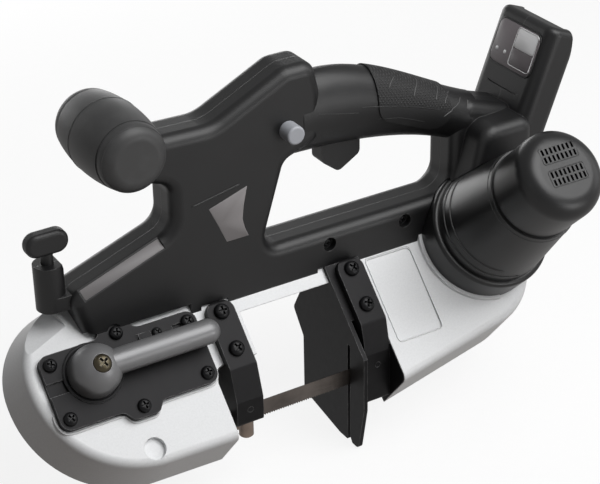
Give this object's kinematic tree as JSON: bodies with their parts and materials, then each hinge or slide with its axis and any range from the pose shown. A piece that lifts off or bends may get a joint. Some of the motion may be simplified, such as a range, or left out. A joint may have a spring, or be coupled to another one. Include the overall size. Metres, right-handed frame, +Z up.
{
  "type": "portable band saw",
  "caption": "Cordless band saw with a tilted silver deck, blade over two wheels, guide rollers, work stop, tension lever, closed rear handle and cross grip.",
  "frame": {"origin": "on the work stop's front face, in the cutting plane, midway up the throat above the blade", "axes": "+X from the front grip to the motor, along the blade; +Z up in the handle's plane, away from the work; +Y across the blade, away from the motor"},
  "size_m": [0.4245, 0.1805, 0.278],
  "materials": {
    "silver_paint": "fine silver paint, satin",
    "black_plastic": "satin black moulding",
    "grip_rubber": "soft black overmould",
    "case_paint": "satin black paint",
    "black_steel": "black oxide, satin",
    "screw_steel": "blackened screw steel",
    "lever_paint": "grey paint",
    "button_grey": "light grey moulding",
    "blade_steel": "rolled blade steel",
    "wheel_alloy": "turned",
    "tyre_rubber": "smooth rubber",
    "machined_steel": "machined",
    "drive_unit": "sealed unit",
    "panel_plastic": "smooth panel",
    "inner_plastic": "moulding"
  },
  "bodies": {
    "saw": {"frame": "silver_paint", "housing_near": "black_plastic", "housing_far": "black_plastic", "front_grip_caps": "black_plastic", "motor_housing": "black_plastic", "motor_end_cap": "black_plastic", "grip_inlay": "grip_rubber", "front_grip": "grip_rubber", "gear_case": "case_paint", "tension_plate": "black_steel", "front_guide_arm": "black_steel", "rear_guide_arm": "black_steel", "work_stop": "black_steel", "tension_plate_screws": "screw_steel", "guide_screws": "screw_steel", "blade": "blade_steel", "drive_axle": "machined_steel", "front_roller_pins": "machined_steel", "rear_roller_pins": "machined_steel", "reduction_gearbox": "drive_unit", "motor_stator": "drive_unit", "display_panel": "panel_plastic", "terminal_block": "inner_plastic", "switch_unit": "inner_plastic"},
    "drive_wheel": {"drive_wheel": "wheel_alloy", "drive_tyre": "tyre_rubber", "drive_bearing": "machined_steel", "drive_ring_gear": "machined_steel"},
    "output_pinion": {"output_pinion": "machined_steel"},
    "motor_rotor": {"motor_rotor": "drive_unit"},
    "tension_slide": {"tension_slide": "machined_steel", "idler_axle": "machined_steel"},
    "idler_wheel": {"idler_wheel": "wheel_alloy", "idler_tyre": "tyre_rubber", "idler_bearing": "machined_steel"},
    "tension_lever": {"tension_lever": "lever_paint", "lever_cam": "machined_steel", "lever_screw": "screw_steel"},
    "trigger": {"trigger": "black_plastic"},
    "lock_button": {"lock_button": "button_grey"},
    "thumb_knob": {"thumb_knob": "black_plastic"},
    "front_near_roller": {"front_near_roller": "machined_steel"},
    "front_far_roller": {"front_far_roller": "machined_steel"},
    "front_thrust_roller": {"front_thrust_roller": "machined_steel"},
    "rear_near_roller": {"rear_near_roller": "machined_steel"},
    "rear_far_roller": {"rear_far_roller": "machined_steel"},
    "rear_thrust_roller": {"rear_thrust_roller": "machined_steel"}
  },
  "joints": [
    {"name": "drive_spin", "type": "hinge", "parent": "saw", "child": "drive_wheel", "pos_m": [0.094, 0.03574, -0.00226], "axis": [0, -0.7071, 0.7071], "continuous": true},
    {"name": "pinion_spin", "type": "hinge", "parent": "saw", "child": "output_pinion", "pos_m": [0.12387, 0.04282, 0.00482], "axis": [0, -0.7071, 0.7071], "continuous": true},
    {"name": "rotor_spin", "type": "hinge", "parent": "saw", "child": "motor_rotor", "pos_m": [0.12387, 0.04282, 0.00482], "axis": [0, -0.7071, 0.7071], "continuous": true},
    {"name": "lever_turn", "type": "hinge", "parent": "saw", "child": "tension_lever", "pos_m": [-0.183, 0.03751, -0.00049], "axis": [0, 0.7071, -0.7071], "range_deg": [0, 180]},
    {"name": "tension_travel", "type": "slide", "parent": "saw", "child": "tension_slide", "axis": [1, 0, 0], "range_m": [0, 0.006]},
    {"name": "idler_spin", "type": "hinge", "parent": "tension_slide", "child": "idler_wheel", "pos_m": [-0.158, 0.03574, -0.00226], "axis": [0, -0.7071, 0.7071], "continuous": true},
    {"name": "trigger_pull", "type": "slide", "parent": "saw", "child": "trigger", "axis": [0, 0, 1], "range_m": [0, 0.007], "stiffness_N_per_m": 900, "springref_m": -0.005},
    {"name": "lock_press", "type": "slide", "parent": "saw", "child": "lock_button", "axis": [0, 1, 0], "range_m": [0, 0.0035], "stiffness_N_per_m": 900, "springref_m": -0.003},
    {"name": "knob_turn", "type": "hinge", "parent": "saw", "child": "thumb_knob", "pos_m": [-0.1935, 0.048, 0.09], "axis": [0, 0, 1], "range_deg": [-90, 90]},
    {"name": "front_near_spin", "type": "hinge", "parent": "saw", "child": "front_near_roller", "pos_m": [-0.085, -0.00555, -0.038], "axis": [0, 0, 1], "continuous": true},
    {"name": "front_far_spin", "type": "hinge", "parent": "saw", "child": "front_far_roller", "pos_m": [-0.085, 0.00555, -0.038], "axis": [0, 0, 1], "continuous": true},
    {"name": "front_thrust_spin", "type": "hinge", "parent": "saw", "child": "front_thrust_roller", "pos_m": [-0.085, 0, -0.02635], "axis": [0, 1, 0], "continuous": true},
    {"name": "rear_near_spin", "type": "hinge", "parent": "saw", "child": "rear_near_roller", "pos_m": [0.0155, -0.00555, -0.038], "axis": [0, 0, 1], "continuous": true},
    {"name": "rear_far_spin", "type": "hinge", "parent": "saw", "child": "rear_far_roller", "pos_m": [0.0155, 0.00555, -0.038], "axis": [0, 0, 1], "continuous": true},
    {"name": "rear_thrust_spin", "type": "hinge", "parent": "saw", "child": "rear_thrust_roller", "pos_m": [0.0155, 0, -0.02635], "axis": [0, 1, 0], "continuous": true}
  ],
  "couplings": [
    {"joint": "pinion_spin", "follows": "drive_spin", "ratio": 5.6667},
    {"joint": "rotor_spin", "follows": "drive_spin", "ratio": 28.333},
    {"joint": "idler_spin", "follows": "drive_spin", "ratio": 1},
    {"joint": "tension_travel", "follows": "lever_turn", "m_per_rad": 0.0019099},
    {"joint": "front_near_spin", "follows": "drive_spin", "ratio": -10},
    {"joint": "front_far_spin", "follows": "drive_spin", "ratio": 10},
    {"joint": "front_thrust_spin", "follows": "drive_spin", "ratio": -10},
    {"joint": "rear_near_spin", "follows": "drive_spin", "ratio": -10},
    {"joint": "rear_far_spin", "follows": "drive_spin", "ratio": 10},
    {"joint": "rear_thrust_spin", "follows": "drive_spin", "ratio": -10}
  ]
}
